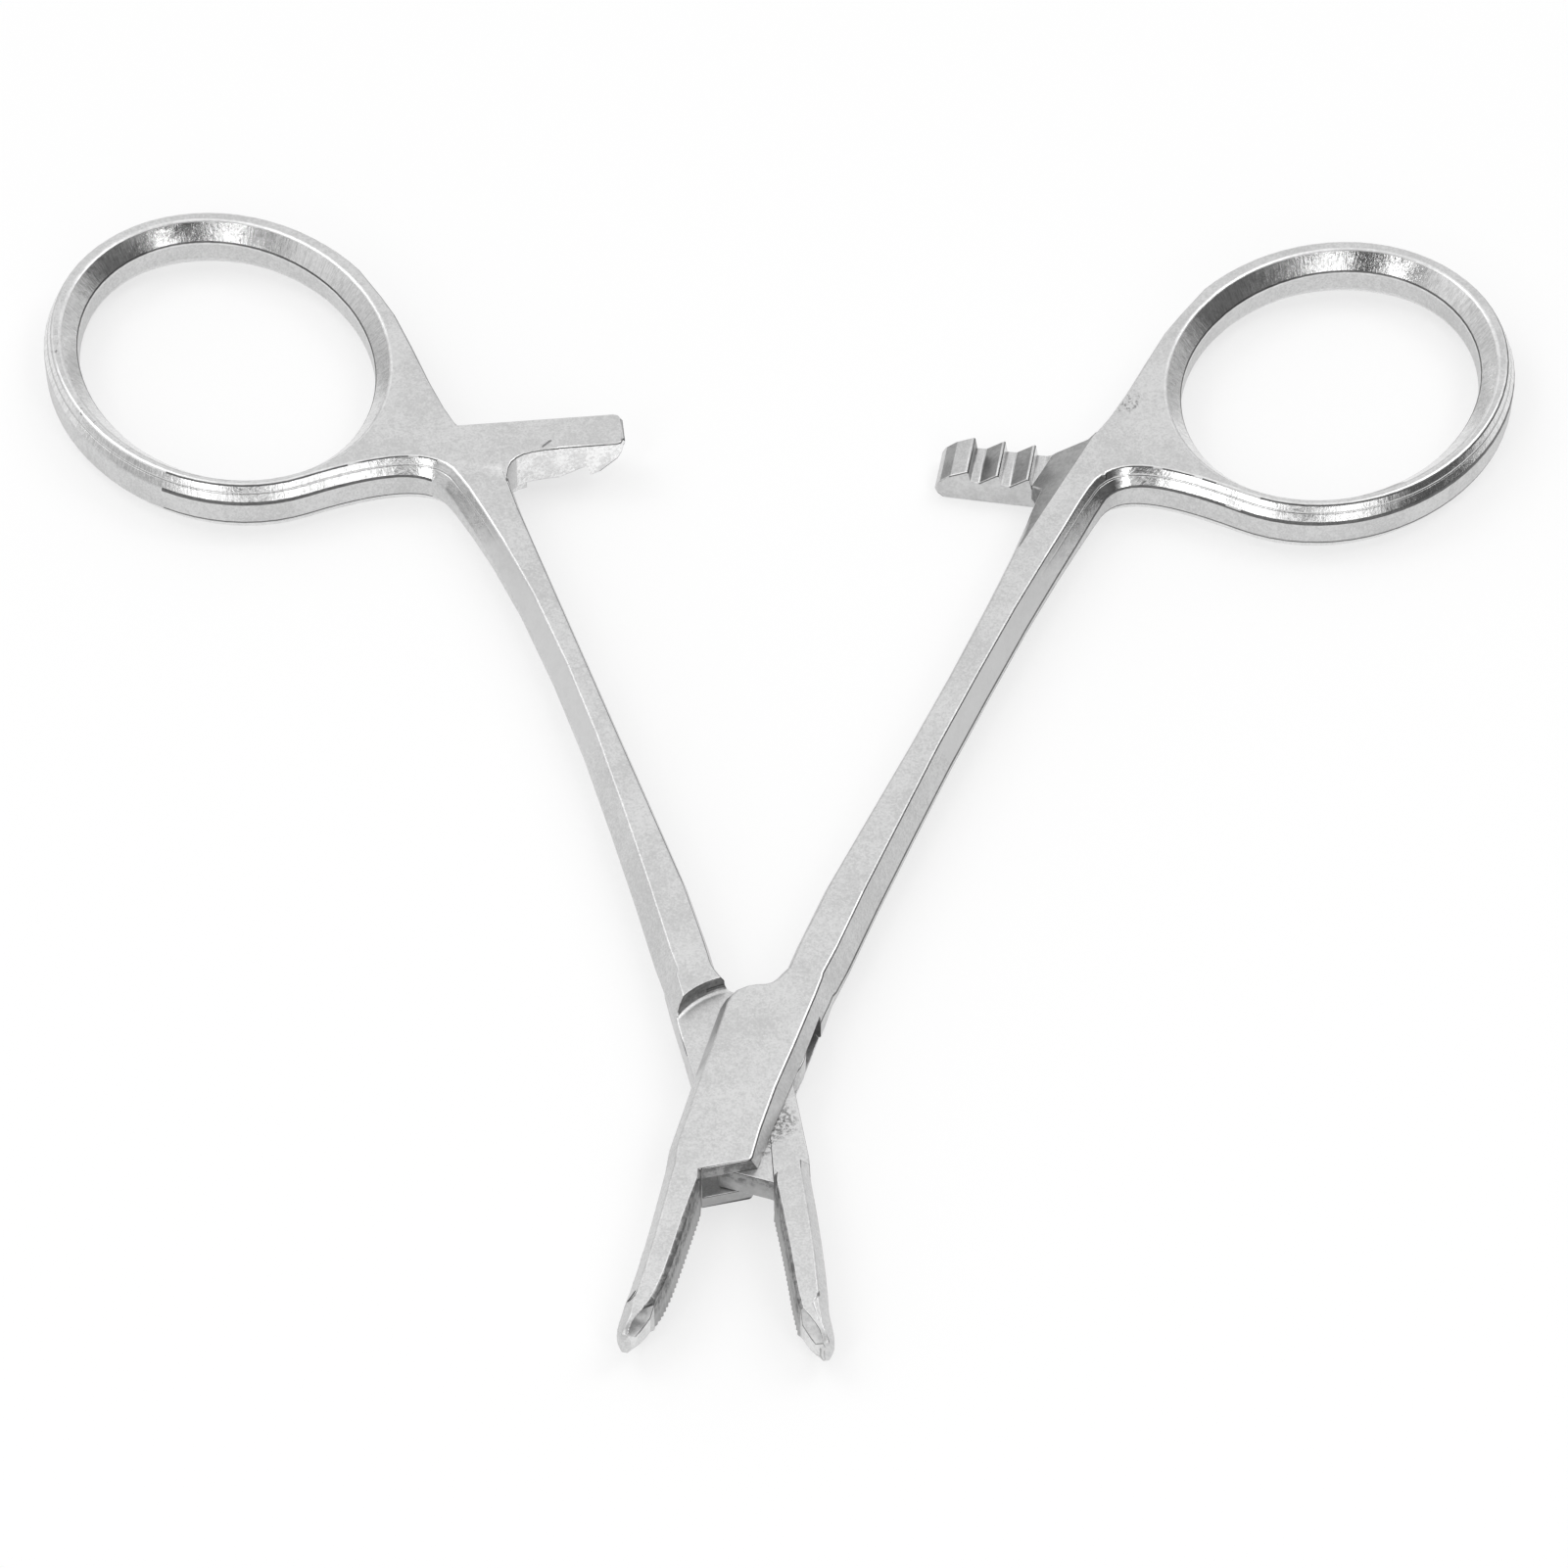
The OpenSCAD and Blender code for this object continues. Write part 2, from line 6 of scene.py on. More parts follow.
import bpy
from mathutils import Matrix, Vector


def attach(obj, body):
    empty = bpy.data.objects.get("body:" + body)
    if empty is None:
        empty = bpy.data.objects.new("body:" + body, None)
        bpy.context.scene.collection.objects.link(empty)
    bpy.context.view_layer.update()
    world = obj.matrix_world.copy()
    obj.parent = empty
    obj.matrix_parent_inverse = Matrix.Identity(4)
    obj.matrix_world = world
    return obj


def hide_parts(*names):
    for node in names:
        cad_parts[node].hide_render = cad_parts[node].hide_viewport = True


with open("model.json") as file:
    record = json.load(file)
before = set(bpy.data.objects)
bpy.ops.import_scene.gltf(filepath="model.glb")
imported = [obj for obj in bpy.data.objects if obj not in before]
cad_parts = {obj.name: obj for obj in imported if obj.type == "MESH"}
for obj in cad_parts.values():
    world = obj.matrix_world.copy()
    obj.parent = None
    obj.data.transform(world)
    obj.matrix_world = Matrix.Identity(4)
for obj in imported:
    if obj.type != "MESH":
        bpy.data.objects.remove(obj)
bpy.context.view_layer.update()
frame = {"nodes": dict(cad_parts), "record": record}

MM = 0.001
PIVOT = Vector(frame["record"]["behaviour"]["joints"][0]["pos_m"])
REST_TURN = math.radians(11.3)
BODY_T = 4.6 * MM
ARM_SKIN = 0.004 * BODY_T  # how far the arms' flats lie below the body's in the solids

# distances from the pivot: the lock, the jaws, the arms and the rings
PIN_R = 1.2 * MM
TONGUE_R = 4.4 * MM
SHOULDER_R = 6.1 * MM
BOX_END = 12.8 * MM
JAW_TEETH_END = 25.2 * MM
ARM_START = 54 * MM
RING_START = 60 * MM
RING_X = 30.165 * MM

RING_BAR = 2.8 * MM
RING_HOLE_W = 23.2 * MM
RING_LEAN = math.radians(17.5)

# edges that turn less than this, or lie beside a narrower face, stay as they are
LEAST_EDGE_TURN = math.radians(17)
LEAST_FACE_W = 0.07 * MM
BROKEN_EDGE_W = 0.17 * MM

# finishes, in the order of each half's materials; the last two are painted highlight and painted shade lines
# along broken edges
# the seventh is painted shade in recesses by the lock and beside the slotted half's arm
SATIN, POLISHED, OUTER, GROUND, WALL, ARM, PAINTED_RECESS_SHADE, END, SLOPE, EDGE_PAINTED_HIGHLIGHT, EDGE_PAINTED_SHADE = range(11)

# side is 1 for the half whose handle lies to +X, -1 for the other
HALVES = {
    "female_half": {"side": 1, "body": "slotted_body", "hole_l": 28.6 * MM, "ring_y": 80.38 * MM},
    "male_half": {"side": -1, "body": "tongued_body", "hole_l": 29.9 * MM, "ring_y": 80.18 * MM},
}

# places in millimetres: pitting as centre, reach and noise limits, a scratch as its two ends and width
WEAR = {
    "female_half": (
        ("pits", (28.5, 37.5, 4.6), 1.9, 0.54, 0.66),
        ("scratch", (6.05, -26.7, 3.9), (6.2, -26.1, 3.9), 0.09),
        ("scratch", (-6.53, -54.62, 4.0), (-6.18, -56.36, 4.0), 0.09),
        ("scratch", (40.0, 55.4, 4.4), (40.2, 56.0, 4.4), 0.12),
        ("scratch", (29.41, 28.6, 3.3), (29.41, 28.0, 2.5), 0.16),
    ),
    "male_half": (
        ("pits", (2.3, -38.2, 3.4), 2.4, 0.47, 0.62),
        ("pits", (1.3, -40.2, 3.4), 1.8, 0.52, 0.64),
        ("pits", (-59.2, 47.2, 4.3), 2.3, 0.57, 0.67),
        ("pits", (-58.6, 41.0, 4.3), 2.6, 0.55, 0.66),
        ("pits", (-55.6, 33.4, 4.3), 2.3, 0.57, 0.67),
        ("pits", (-52.8, 28.9, 4.0), 2.0, 0.58, 0.68),
        ("scratch", (-18.5, 30.6, 4.6), (-17.9, 31.3, 4.6), 0.10),
        ("scratch", (-9.3, -16.6, 4.1), (-9.0, -16.0, 4.1), 0.14),
        ("scratch", (6.14, -54.26, 4.1), (5.62, -55.34, 4.0), 0.13),
        ("scratch", (5.62, -55.34, 4.0), (6.07, -56.73, 3.9), 0.16),
    ),
}


def own_place(co, side):
    """Turns a point into the half's own shut frame, handle to +x, jaw to -y, jaws meeting at x = 0."""
    x, y = co.x - PIVOT.x, co.y - PIVOT.y
    turn = REST_TURN * side
    c, s = math.cos(turn), math.sin(turn)
    return Vector(((x * c - y * s) * side, x * s + y * c, co.z))


def own_direction(v, side):
    """Turns a direction into the half's own shut frame."""
    turn = REST_TURN * side
    c, s = math.cos(turn), math.sin(turn)
    return Vector(((v.x * c - v.y * s) * side, v.x * s + v.y * c, v.z))


def off_ring(p, half):
    """Distance from the finger hole's wall, counted outward."""
    dx, dy = p.x - RING_X, p.y - half["ring_y"]
    c, s = math.cos(RING_LEAN), math.sin(RING_LEAN)
    u, v = dx * c - dy * s, dx * s + dy * c
    a, b = RING_HOLE_W / 2, half["hole_l"] / 2
    share = math.hypot(u / a, v / b)
    return math.hypot(u, v) * (1 - 1 / max(share, 1e-6))


def alone(obj):
    """Makes obj the one selected and active object."""
    bpy.ops.object.select_all(action="DESELECT")
    obj.select_set(True)
    bpy.context.view_layer.objects.active = obj


def apply_modifiers(obj):
    alone(obj)
    for modifier in list(obj.modifiers):
        bpy.ops.object.modifier_apply(modifier=modifier.name)


class Link:
    """A socket that takes part in Python arithmetic by adding Math nodes."""

    def __init__(self, paint, socket):
        self.paint = paint
        self.socket = socket

    def _math(self, operation, *values):
        return self.paint.node("ShaderNodeMath", {"operation": operation}, dict(enumerate(values)))

    def __add__(self, other):
        return self._math("ADD", self, other)

    def __radd__(self, other):
        return self._math("ADD", other, self)

    def __sub__(self, other):
        return self._math("SUBTRACT", self, other)

    def __rsub__(self, other):
        return self._math("SUBTRACT", other, self)

    def __mul__(self, other):
        return self._math("MULTIPLY", self, other)

    def __rmul__(self, other):
        return self._math("MULTIPLY", other, self)

    def __truediv__(self, other):
        return self._math("DIVIDE", self, other)

    def __pow__(self, other):
        return self._math("POWER", self, other)

    def least(self, other):
        return self._math("MINIMUM", self, other)

    def most(self, other):
        return self._math("MAXIMUM", self, other)

    def angle_over(self, other):
        return self._math("ARCTAN2", self, other)

    def over(self, low, high):
        """0 below low, 1 above high and smooth between."""
        return self.paint.node(
            "ShaderNodeMapRange",
            {"interpolation_type": "SMOOTHSTEP", "clamp": True},
            {"Value": self, "From Min": low, "From Max": high},
        )


class Graph:
    """An emptied node tree that nodes are added to."""

    def __init__(self, tree):
        self.tree = tree
        tree.nodes.clear()

    def put(self, socket, value):
        if isinstance(value, Link):
            self.tree.links.new(value.socket, socket)
        else:
            socket.default_value = value

    def node(self, kind, settings=None, sockets=None, output=0):
        made = self.tree.nodes.new(kind)
        for key, value in (settings or {}).items():
            setattr(made, key, value)
        for key, value in (sockets or {}).items():
            self.put(made.inputs[key], value)
        return None if output is None else Link(self, made.outputs[output])

    def axis(self, vector, name):
        return self.node("ShaderNodeSeparateXYZ", {}, {0: vector}, output=name)


class Paint(Graph):
    """One procedural material."""

    def __init__(self, name):
        self.material = bpy.data.materials.new(name)
        self.material.use_nodes = True
        super().__init__(self.material.node_tree)
        self.shader = self.tree.nodes.new("ShaderNodeBsdfPrincipled")
        self.output = self.tree.nodes.new("ShaderNodeOutputMaterial")
        self.tree.links.new(self.shader.outputs[0], self.output.inputs[0])

    def place(self):
        return self.node("ShaderNodeTexCoord", output="Object")

    def vector(self, x, y, z):
        return self.node("ShaderNodeCombineXYZ", {}, {0: x, 1: y, 2: z})

    def noise(self, vector, scale, detail=2.0, rough=0.5):
        return self.node(
            "ShaderNodeTexNoise",
            {},
            {"Vector": vector, "Scale": scale, "Detail": detail, "Roughness": rough},
        )

    def blend(self, share, a, b):
        return self.node("ShaderNodeMix", {"data_type": "RGBA"}, {0: share, 6: a, 7: b}, output=2)

    def vector_math(self, operation, sockets, output=0):
        return self.node("ShaderNodeVectorMath", {"operation": operation}, sockets, output)

    def bump(self, height, depth, strength=1.0, below=None):
        sockets = {"Height": height, "Distance": depth, "Strength": strength}
        if below is not None:
            sockets["Normal"] = below
        return self.node("ShaderNodeBump", {}, sockets)

    def ball(self, place, centre, inner, outer):
        """1 within inner of centre, 0 beyond outer."""
        away = self.vector_math("DISTANCE", {0: place, 1: tuple(centre)}, output=1)
        return 1.0 - away.over(inner, outer)

    def stroke(self, place, start, end, width):
        """1 on the straight line from start to end, 0 beyond width from it."""
        start, end = Vector(start), Vector(end)
        run = end - start
        rel = self.vector_math("SUBTRACT", {0: place, 1: tuple(start)})
        dot = self.vector_math("DOT_PRODUCT", {0: rel, 1: tuple(run)}, output=1)
        share = (dot / run.length_squared).most(0.0).least(1.0)
        foot = self.vector_math("SCALE", {0: tuple(run), "Scale": share})
        away = self.vector_math("DISTANCE", {0: rel, 1: foot}, output=1)
        return 1.0 - away.over(width * 0.4, width)

    def finish(self, **values):
        for name, value in values.items():
            self.put(self.shader.inputs[name.replace("_", " ")], value)
        return self.material


def grey(level):
    return (level, level, level, 1.0)


def worn(paint, place, wear):
    """Shares of pitting and of scratches at a place, both 0 where the steel is sound."""
    pits = scratches = None
    for kind, *values in wear:
        if kind == "pits":
            centre, reach, low, high = values
            patch = paint.ball(place, Vector(centre) * MM, reach * 0.35 * MM, reach * MM)
            lump = paint.noise(place, 2700.0, 4.0, 0.8).over(low, high) * patch
            pits = lump if pits is None else pits.most(lump)
        else:
            start, end, width = values
            line = paint.stroke(place, Vector(start) * MM, Vector(end) * MM, width * MM)
            scratches = line if scratches is None else scratches.most(line)
    return pits, scratches


def satin_steel(name, level=0.64, roughness=0.40, wear=()):
    """Blasted flats: fine even grain, faint cloudiness, pits and scratches where the steel is worn."""
    paint = Paint(name)
    place = paint.place()
    grain = paint.noise(place, 6200.0, 2.0, 0.6)
    coarse = paint.noise(place, 2300.0, 2.0, 0.6)
    cloud = paint.noise(place, 180.0, 3.0, 0.55)
    shade = grain * 0.45 + coarse * 0.25 + cloud * 0.3
    colour = paint.blend(shade.over(0.38, 0.62), grey(level * 0.87), grey(level * 1.10))
    height = grain * 0.6 + coarse * 0.4
    pits, scratches = worn(paint, place, wear)
    for share, depth, tone in ((pits, 5.0, 0.26), (scratches, 9.0, 0.22)):
        if share is not None:
            colour = paint.blend(share * 0.85, colour, grey(tone))
            height = height - share * depth
    return paint.finish(
        Base_Color=colour,
        Metallic=1.0,
        Roughness=cloud * 0.08 + (roughness - 0.04),
        Normal=paint.bump(height, 0.009 * MM),
    )


def polished_steel(name, half, level=0.72, roughness=0.13, painted_crease_z=None, speckle=0.5):
    """Bevels polished on a wheel: marks across the ring's bar over wavy, nearly bright metal.

    The bevel can carry a painted shade line, grooved in the bump, at a given height where its two sub-bevels
    meet; away from the ring the polish fades to satin.
    """
    paint = Paint(name)
    place = paint.place()
    centre = half["ring_centre"]
    x = paint.axis(place, "X") - centre.x
    y = paint.axis(place, "Y") - centre.y
    z = paint.axis(place, "Z")
    around = y.angle_over(x)
    radius = (x * x + y * y) ** 0.5
    along = paint.vector(around * 6.0, radius * 60.0, z * 60.0)
    marks = paint.noise(along, 12.0, 4.0, 0.75)
    fine = paint.noise(along, 30.0, 2.0, 0.6)
    dots = paint.noise(place, 2600.0, 3.0, 0.7)
    wave = paint.noise(place, 420.0, 2.0, 0.5)
    patch = paint.noise(place, 130.0, 2.0, 0.5)
    away = radius.over(21.0 * MM, 36.0 * MM)
    dull = patch.over(0.46, 0.66).most(away)
    shade = (marks * 0.5 + fine * 0.2 + dots * 0.3).over(0.36, 0.60)
    colour = paint.blend(shade, grey(level * 0.80), grey(level * 1.10))
    height = (marks * 0.55 + fine * 0.15 + dots * speckle * (dull * 0.7 + 0.3)) * (1.0 - away * 0.7)
    # painted shade line where the bevel's two sub-bevels meet
    if painted_crease_z is not None:
        line = 1.0 - ((z / painted_crease_z - 1.0) ** 2.0 * 2400.0).least(1.0)
        colour = paint.blend(line * (1.0 - away) * 0.4, colour, grey(0.30))
        height = height - line * (1.0 - away) * 0.8
    waved = paint.bump(wave, 0.12 * MM, 0.5)
    return paint.finish(
        Base_Color=paint.blend(away * 0.8, colour, grey(0.62)),
        Metallic=1.0,
        Roughness=dull * 0.12 + away * 0.12 + shade * 0.05 + roughness - 0.04,
        Normal=paint.bump(height, 0.034 * MM, 1.0, waved),
    )


def ground_steel(name, level=0.60, roughness=0.34, spread=0.10, depth=0.008):
    """Walls left from grinding and milling; the same maker also gives the painted shade in recesses and the
    painted highlight and painted shade lines along broken edges.
    """
    paint = Paint(name)
    place = paint.place()
    grain = paint.noise(place, 3600.0, 3.0, 0.7)
    cloud = paint.noise(place, 700.0, 2.0, 0.5)
    tone = (grain * 0.6 + cloud * 0.4).over(0.38, 0.62)
    colour = paint.blend(tone, grey(level * (1 - spread)), grey(level * (1 + spread)))
    return paint.finish(
        Base_Color=colour,
        Metallic=1.0,
        Roughness=cloud * 0.12 + roughness - 0.06,
        Normal=paint.bump(grain * 0.5 + cloud * 0.5, depth * MM),
    )


def serrated_steel(name):
    """Inner faces of the jaws, darker in blotches along their upper half."""
    paint = Paint(name)
    place = paint.place()
    grain = paint.noise(place, 2600.0, 3.0, 0.65)
    blotch = paint.noise(place, 1300.0, 3.0, 0.7)
    upper = paint.axis(place, "Z").over(0.40 * BODY_T, 0.62 * BODY_T)
    dark = (blotch.over(0.38, 0.60) * 0.5 + 0.32) * (upper * 0.8 + 0.2)
    colour = paint.blend(dark, grey(0.50), grey(0.12))
    return paint.finish(
        Base_Color=colour,
        Metallic=1.0,
        Roughness=grain * 0.10 + 0.38,
        Normal=paint.bump(blotch, 0.03 * MM),
    )


def merged_copy(node, name):
    """A copy of a CAD node's mesh with its loose triangles joined into whole faces."""
    source = frame["nodes"][node]
    piece = source.copy()
    piece.data = source.data.copy()
    piece.name = name
    piece.data.name = name
    piece.data.materials.clear()
    bpy.context.scene.collection.objects.link(piece)
    alone(piece)
    bpy.ops.object.mode_set(mode="EDIT")
    bpy.ops.mesh.select_all(action="SELECT")
    if piece.data.has_custom_normals:
        bpy.ops.mesh.customdata_custom_splitnormals_clear()
    bpy.ops.mesh.remove_doubles(threshold=0.0005 * MM)
    bpy.ops.object.mode_set(mode="OBJECT")
    for vertex in piece.data.vertices:
        if abs(vertex.co.z - ARM_SKIN) < 0.001 * MM:
            vertex.co.z = 0.0
        elif abs(vertex.co.z - (BODY_T - ARM_SKIN)) < 0.001 * MM:
            vertex.co.z = BODY_T
    bpy.ops.object.mode_set(mode="EDIT")
    bpy.ops.mesh.select_all(action="SELECT")
    bpy.ops.mesh.dissolve_degenerate(threshold=0.002 * MM)
    bpy.ops.mesh.dissolve_limited(angle_limit=math.radians(0.4))
    bpy.ops.object.mode_set(mode="OBJECT")
    return piece


def work_solid(piece, plan, low, high, operation):
    """Adds a prism to the piece or cuts it away.

    All is in millimetres; low and high are one height each or a list with one for each corner of the plan.
    """
    mesh = bpy.data.meshes.new("work_solid")
    count = len(plan)
    lows = low if isinstance(low, list) else [low] * count
    highs = high if isinstance(high, list) else [high] * count
    points = [(x * MM, y * MM, z * MM) for (x, y), z in zip(plan, lows)]
    points += [(x * MM, y * MM, z * MM) for (x, y), z in zip(plan, highs)]
    faces = [tuple(reversed(range(count))), tuple(range(count, 2 * count))]
    faces += [(i, (i + 1) % count, (i + 1) % count + count, i + count) for i in range(count)]
    mesh.from_pydata(points, [], faces)
    tool = bpy.data.objects.new("work_solid", mesh)
    bpy.context.scene.collection.objects.link(tool)
    alone(tool)
    bpy.ops.object.mode_set(mode="EDIT")
    bpy.ops.mesh.select_all(action="SELECT")
    bpy.ops.mesh.normals_make_consistent(inside=False)
    bpy.ops.object.mode_set(mode="OBJECT")
    modifier = piece.modifiers.new("work", "BOOLEAN")
    modifier.object = tool
    modifier.operation = operation
    modifier.solver = "EXACT"
    alone(piece)
    bpy.ops.object.modifier_apply(modifier=modifier.name)
    bpy.data.objects.remove(tool)


# the slotted half's web slopes down to its arm from a straight ridge between these two places, in millimetres
RIDGE = (Vector((24.94, 31.42)), Vector((22.42, 25.91)))
RIDGE_TOP = 4.592
RIDGE_FALL = 0.78

# a cutter that goes right through the forging, in millimetres
BELOW, ABOVE = -1.0, 6.0


def ridge_height(x, y):
    """Height in millimetres of the slope beside the slotted half's arm."""
    run = (RIDGE[1] - RIDGE[0]).normalized()
    away = (Vector((x, y)) - RIDGE[0]).dot(Vector((run.y, -run.x)))
    return RIDGE_TOP - RIDGE_FALL * away


def slope_to_arm(piece):
    """The ground slope between the slotted half's flat web and the last tooth of its arm."""
    along = (RIDGE[1] - RIDGE[0]).normalized()
    aside = Vector((along.y, -along.x))
    foot = [(20.95, 29.72), (21.75, 28.35), (24.0, 29.36), (25.1, 31.8), (24.7, 32.9), (22.75, 33.5)]
    work_solid(piece, foot, 0.95, [min(4.59, ridge_height(*place)) for place in foot], "UNION")
    spans = ((-4.0, -0.01), (12.0, -0.01), (12.0, 2.6), (-4.0, 2.6))
    corners = [tuple(RIDGE[0] + along * t + aside * w) for t, w in spans]
    lows = [ridge_height(*corner) for corner in corners]
    work_solid(piece, corners, lows, ABOVE, "DIFFERENCE")


def round_arm_root(piece):
    """The round inside corner between the tongued half's shank and arm, and the arm's rounded end."""
    corner = [
        (-22.1, 25.9), (-21.28, 26.0), (-21.17, 27.3), (-21.12, 28.1),
        (-20.92, 28.75), (-20.55, 29.25), (-20.02, 29.68), (-19.3, 29.98),
        (-18.3, 30.24), (-17.2, 30.44), (-17.2, 31.4), (-22.6, 31.4),
    ]
    work_solid(piece, corner, 1.3, BODY_T / MM, "UNION")
    back = Vector((-0.99, -0.14))
    rounding = ((-1.0, -1.0), (0.9, -0.9), (0.62, -0.02), (0.2, 0.12), (0.0, 0.5), (-0.9, 0.9))
    for end, turn in (((-12.47, 34.67), 1), ((-12.0, 31.21), -1)):
        aside = Vector((-0.14, 0.99)) * -turn
        cut = [tuple(Vector(end) + back * t + aside * w) for t, w in rounding]
        work_solid(piece, cut, BELOW, ABOVE, "DIFFERENCE")


def shape_serrations(piece, half):
    """Lets the serrations die out at the polished upper edge and stand out along the lower one."""
    rows = {1: {}, 0: {}}
    for vertex in piece.data.vertices:
        p = own_place(vertex.co, half["side"])
        if not (-JAW_TEETH_END < p.y < -BOX_END - 0.8 * MM and p.x > -0.9 * MM):
            continue
        upper = p.z > BODY_T / 2
        if not 0.05 * MM <= min(p.z, BODY_T - p.z) <= 0.9 * MM:
            continue
        key = round(p.y / MM, 1)
        if key not in rows[upper] or p.x > rows[upper][key][1]:
            rows[upper][key] = (p.y, p.x, vertex)
    turn = -REST_TURN * half["side"]
    c, s = math.cos(turn), math.sin(turn)
    for upper, row in rows.items():
        line = [row[key] for key in sorted(row)]
        for before, here, after in zip(line, line[1:], line[2:]):
            mean = 0.25 * before[1] + 0.5 * here[1] + 0.25 * after[1]
            x = mean - 0.02 * MM if upper else min(mean + 1.8 * (here[1] - mean), mean + 0.10 * MM)
            u, v = x * half["side"], here[0]
            here[2].co.x = PIVOT.x + u * c - v * s
            here[2].co.y = PIVOT.y + u * s + v * c


def edge_width(p, upright, half, slotted):
    """How wide an edge is broken, as a share of the widest, 0 where it stays sharp."""
    reach = math.hypot(p.x, p.y)
    if reach < PIN_R * 1.3 or (not slotted and reach < TONGUE_R * 0.9):
        return 0.0
    if p.y > RING_START and -0.5 * MM < off_ring(p, half) < RING_BAR * 1.15:
        return 1.0
    if upright > 0.9 and (p.y > ARM_START or (p.y < 0 and reach < BOX_END * 1.2)):
        return 0.0
    if p.y < -JAW_TEETH_END:
        return 0.35
    if p.y < -BOX_END and p.x > -0.6 * MM:
        return 0.25
    if reach < BOX_END * 1.05:
        return 0.8 if slotted and p.z > 0.9 * BODY_T else 0.5
    return 0.7


def soften_edges(piece, half, node):
    """Breaks the sharp edges as a polishing wheel does, wider round the rings than at the lock."""
    mesh = piece.data
    mesh.attributes.new("bevel_weight_edge", "FLOAT", "EDGE")
    weights = mesh.attributes["bevel_weight_edge"].data
    faces_of = {}
    for polygon in mesh.polygons:
        for key in polygon.edge_keys:
            faces_of.setdefault(key, []).append(polygon)
    for edge in mesh.edges:
        faces = faces_of.get(tuple(sorted(edge.vertices)), [])
        if len(faces) != 2:
            continue
        start, end = (mesh.vertices[index].co for index in edge.vertices)
        run = start - end
        turn = faces[0].normal.angle(faces[1].normal, 0.0)
        if turn < LEAST_EDGE_TURN or min(face.area for face in faces) < run.length * LEAST_FACE_W:
            continue
        upright = abs(run.z) / max(run.length, 1e-9)
        middle = own_place((start + end) / 2, half["side"])
        weights[edge.index].value = edge_width(middle, upright, half, node == "female_half")
    bevel = piece.modifiers.new("broken_edges", "BEVEL")
    bevel.limit_method = "WEIGHT"
    bevel.width = BROKEN_EDGE_W
    # new bevel faces first take the painted highlight, and edge_finish then sorts them into painted
    # highlight, painted shade or a finish
    bevel.material = EDGE_PAINTED_HIGHLIGHT
    bevel.segments = 2
    bevel.use_clamp_overlap = False
    alone(piece)
    bpy.ops.object.shade_smooth_by_angle(angle=math.radians(50))
    settle = piece.modifiers.new("flat_stays_flat", "WEIGHTED_NORMAL")
    settle.mode = "FACE_AREA"
    settle.weight = 90
    settle.keep_sharp = True
    apply_modifiers(piece)
    # where broken edges meet, a corner can overshoot the flats
    for vertex in piece.data.vertices:
        vertex.co.z = min(max(vertex.co.z, 0.0), BODY_T)


def edge_finish(p, n, seen, half):
    """A broken edge: a painted highlight line next to the flat, a painted shade line below it where it turns
    to the near side.

    p and n are in the half's own frame, seen is the normal as the instrument lies.
    """
    near = seen.x - seen.y * 0.6 > 0.1
    # the ring's broken edges: painted shade on the steeper segment, painted highlight on the other
    if p.y > RING_START and off_ring(p, half) < 1.2 * MM:
        return EDGE_PAINTED_SHADE if 0.45 < n.z < 0.60 else EDGE_PAINTED_HIGHLIGHT
    if p.y < -BOX_END:
        return WALL if n.x > 0.3 and p.x > -1.5 * MM else SATIN
    if p.y < BOX_END * 1.4 and n.z > 0.80:
        return EDGE_PAINTED_HIGHLIGHT if near else SATIN
    if p.y < 52 * MM and n.z > 0.80:
        return SATIN
    if n.z > 0.80 or n.z < -0.3:
        return EDGE_PAINTED_HIGHLIGHT
    return EDGE_PAINTED_SHADE if near else SATIN


def finish_of(p, n, half, node):
    """Which finish a face at p with normal n has, both in the half's own frame."""
    slotted = node == "female_half"
    off = off_ring(p, half)
    reach = math.hypot(p.x, p.y)
    slanted = 0.12 < abs(n.z) < 0.95
    if slotted and 50 * MM < p.y < 70 * MM and n.x < -0.35 and 0.6 < n.z < 0.9:
        return SLOPE
    if p.y > RING_START and slanted and off < 1.9 * MM:
        return POLISHED
    if p.y > 30 * MM and slanted and n.x - n.y > 0.35 and p.x > 4 * MM:
        return OUTER
    if slotted and p.y > 66 * MM and slanted and off > 1.6 * MM:
        return POLISHED
    if not slotted and p.x < 8.5 * MM and p.y > 58 * MM and n.y < -0.5:
        return ARM
    # the jaw tips' inner end faces take the painted highlight too
    if p.y <= -JAW_TEETH_END * 1.01 and n.x > 0.5 and n.z < 0.8:
        return EDGE_PAINTED_HIGHLIGHT
    if abs(n.z) > 0.9:
        return SATIN
    if -JAW_TEETH_END < p.y < -BOX_END * 0.9 and n.x > 0.35 and p.x > -2.2 * MM:
        return WALL
    inward = -(n.x * p.x + n.y * p.y) / max(reach, 1e-6)
    # painted shade on the tongued half's faces turned to the pivot, where they sit against the slotted half's
    # box
    if not slotted and reach < SHOULDER_R * 1.12 and inward > 0.5 and p.y > 0:
        return PAINTED_RECESS_SHADE
    if -BOX_END * 1.1 < p.y < 0 and abs(n.z) < 0.5 and n.y < -0.5:
        return END
    # painted shade on upright side faces beside the slotted half's arm
    if slotted and p.x < 10 * MM and p.y > 58 * MM and abs(n.z) < 0.97:
        return PAINTED_RECESS_SHADE if p.x > 3 * MM and abs(n.z) < 0.3 and abs(n.x) > 0.6 else GROUND
    if p.y < BOX_END and reach < SHOULDER_R * 1.05 and abs(n.z) < 0.8:
        return GROUND
    return SATIN


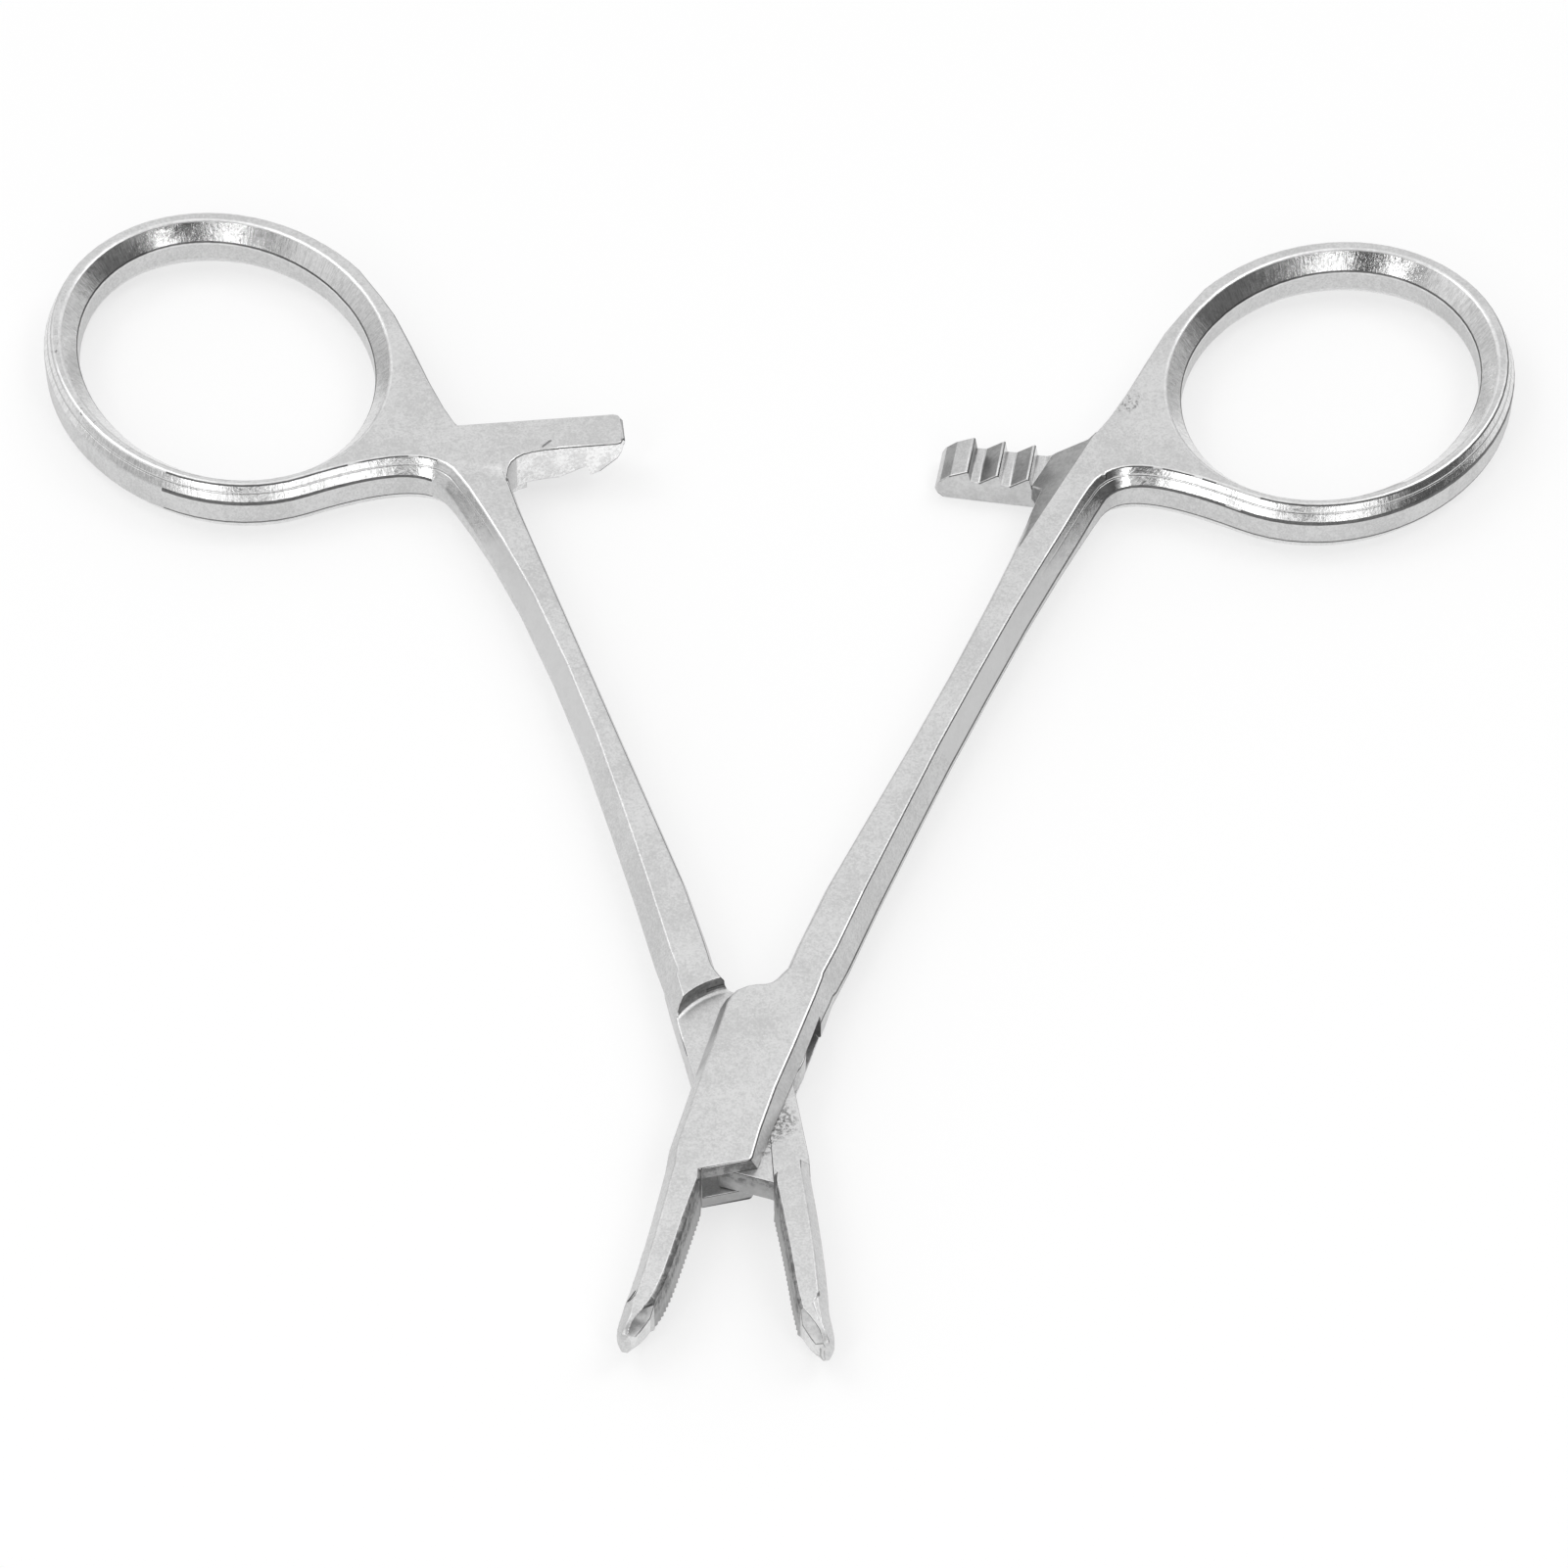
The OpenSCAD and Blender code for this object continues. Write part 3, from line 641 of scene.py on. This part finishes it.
def dress_half(node, name):
    """Works and finishes a copy of one forging and puts it in the CAD node's place."""
    half = HALVES[node]
    piece = merged_copy(node, name)
    side = half["side"]
    x, y = RING_X * side, half["ring_y"]
    turn = -REST_TURN * side
    c, s = math.cos(turn), math.sin(turn)
    half["ring_centre"] = Vector((x * c - y * s, x * s + y * c, 0)) + PIVOT
    for material in (
        satin_steel(f"{name}_satin", wear=WEAR[node]),
        polished_steel(f"{name}_polished", half),
        # outer bevels with a painted shade line where their two sub-bevels meet
        polished_steel(f"{name}_outer_bevel", half, 0.74, 0.15, painted_crease_z=4.02 * MM, speckle=0.9),
        ground_steel(f"{name}_ground"),
        serrated_steel(f"{name}_serrated"),
        ground_steel(f"{name}_arm_side", 0.85, 0.22, 0.16, 0.05),
        # painted shade in recesses
        ground_steel(f"{name}_recess_painted_shade", 0.30, 0.40, 0.25, 0.012),
        ground_steel(f"{name}_end", 0.44 if node == "female_half" else 0.62, 0.38, 0.22, 0.02),
        ground_steel(f"{name}_slope", 0.36, 0.36, 0.16, 0.012),
        # painted highlight and painted shade lines for the broken edges
        ground_steel(f"{name}_edge_painted_highlight", 0.74, 0.34, 0.10, 0.006),
        ground_steel(f"{name}_edge_painted_shade", 0.15, 0.42, 0.20, 0.006),
    ):
        piece.data.materials.append(material)
    if node == "female_half":
        slope_to_arm(piece)
    else:
        round_arm_root(piece)
    shape_serrations(piece, half)
    soften_edges(piece, half, node)
    for polygon in piece.data.polygons:
        p = own_place(polygon.center, side)
        n = own_direction(polygon.normal, side)
        if polygon.material_index == EDGE_PAINTED_HIGHLIGHT:
            polygon.material_index = edge_finish(p, n, polygon.normal, half)
        else:
            polygon.material_index = finish_of(p, n, half, node)
    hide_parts(node)
    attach(piece, half["body"])


def make_floor():
    """White sheet: partly self-lit where the camera or the metal sees it, so that its shadow stays faint."""
    bpy.ops.object.select_all(action="DESELECT")
    bpy.ops.mesh.primitive_plane_add(size=6.0, location=(0, 0, -0.00005))
    floor = bpy.context.active_object
    floor.name = "floor"
    paint = Paint("white_floor")
    paint.finish(Base_Color=grey(0.97), Roughness=0.9, Specular_IOR_Level=0.0)
    seen = paint.node("ShaderNodeLightPath", output="Is Camera Ray")
    for ray in ("Is Glossy Ray", "Is Transmission Ray"):
        seen = seen.most(paint.node("ShaderNodeLightPath", output=ray))
    glow = paint.node("ShaderNodeEmission", {}, {"Strength": 1.0})
    lit = Link(paint, paint.shader.outputs[0])
    mixed = paint.node("ShaderNodeMixShader", {}, {0: seen * 0.62, 1: lit, 2: glow})
    paint.put(paint.output.inputs[0], mixed)
    floor.data.materials.append(paint.material)


def make_light(name, place, size, power):
    """A soft box at a place in metres, aimed at the middle of the instrument."""
    data = bpy.data.lights.new(name, "AREA")
    data.shape = "RECTANGLE"
    data.size, data.size_y = size
    data.energy = power
    light = bpy.data.objects.new(name, data)
    bpy.context.scene.collection.objects.link(light)
    light.location = place
    light.rotation_euler = (-Vector(place)).to_track_quat("-Z", "Y").to_euler()


def make_world():
    """White studio: light behind and low in front, dark where the photographer stands."""
    world = bpy.data.worlds.new("studio")
    bpy.context.scene.world = world
    world.use_nodes = True
    graph = Graph(world.node_tree)
    place = graph.node("ShaderNodeTexCoord", output="Generated")
    x, y, z = (graph.axis(place, name) for name in "XYZ")
    up = z.over(-0.05, 0.85) * 0.36 + 0.64
    front = (0.0 - y).over(0.15, 0.55) * (1.0 - (0.0 - x).over(0.62, 0.80) * z.over(0.2, 0.4))
    high = z.over(0.44, 0.56)
    shade = 0.42 - high * 0.30
    level = up * (1.0 - front) + shade * front
    strip = (0.0 - y).over(0.60, 0.74) * z.over(0.08, 0.18) * (1.0 - high)
    level = level + strip * 0.85
    toward = x * 0.94 + y * -0.12 + z * 0.32
    level = level * (1.0 - toward.over(0.80, 0.93) * 0.82)
    colour = graph.node("ShaderNodeCombineColor", {}, {0: level, 1: level, 2: level})
    back = graph.node("ShaderNodeBackground", {}, {0: colour})
    graph.node("ShaderNodeOutputWorld", {}, {0: back}, output=None)


def make_camera():
    """The photograph's camera: 50 degrees up from the tip side, 411 mm from the pivot."""
    image_side = 1601
    pivot_px = (762, 1100)
    focal_px = 13.8 * 411  # 13.8 image points to the millimetre at the pivot
    data = bpy.data.cameras.new("camera")
    data.sensor_width = 36
    data.lens = focal_px * data.sensor_width / image_side
    data.shift_x = (image_side / 2 - pivot_px[0]) / image_side
    data.shift_y = (pivot_px[1] - image_side / 2) / image_side
    data.clip_start, data.clip_end = 0.01, 20
    camera = bpy.data.objects.new("camera", data)
    bpy.context.scene.collection.objects.link(camera)
    aim = Vector((PIVOT.x, PIVOT.y, 0))
    camera.location = aim + Vector((9.22, -264.02, 314.84)) * MM
    camera.rotation_euler = (aim - camera.location).to_track_quat("-Z", "Y").to_euler()
    bpy.context.scene.camera = camera


dress_half("female_half", "slotted_forging")
dress_half("male_half", "tongued_forging")
pin_mesh = frame["nodes"]["pivot_pin"].data
pin_mesh.materials.clear()
pin_mesh.materials.append(satin_steel("pin_satin"))

make_floor()
make_world()
for side in (-1, 1):
    make_light(f"front_box_{side + 1}", (side * 0.335, -0.522, 0.503), (0.16, 0.34), 0.65)
    make_light(f"top_box_{side + 1}", (side * 0.55, 0.30, 0.75), (0.45, 0.45), 1.1)
make_camera()
bpy.context.scene.view_settings.view_transform = "Standard"
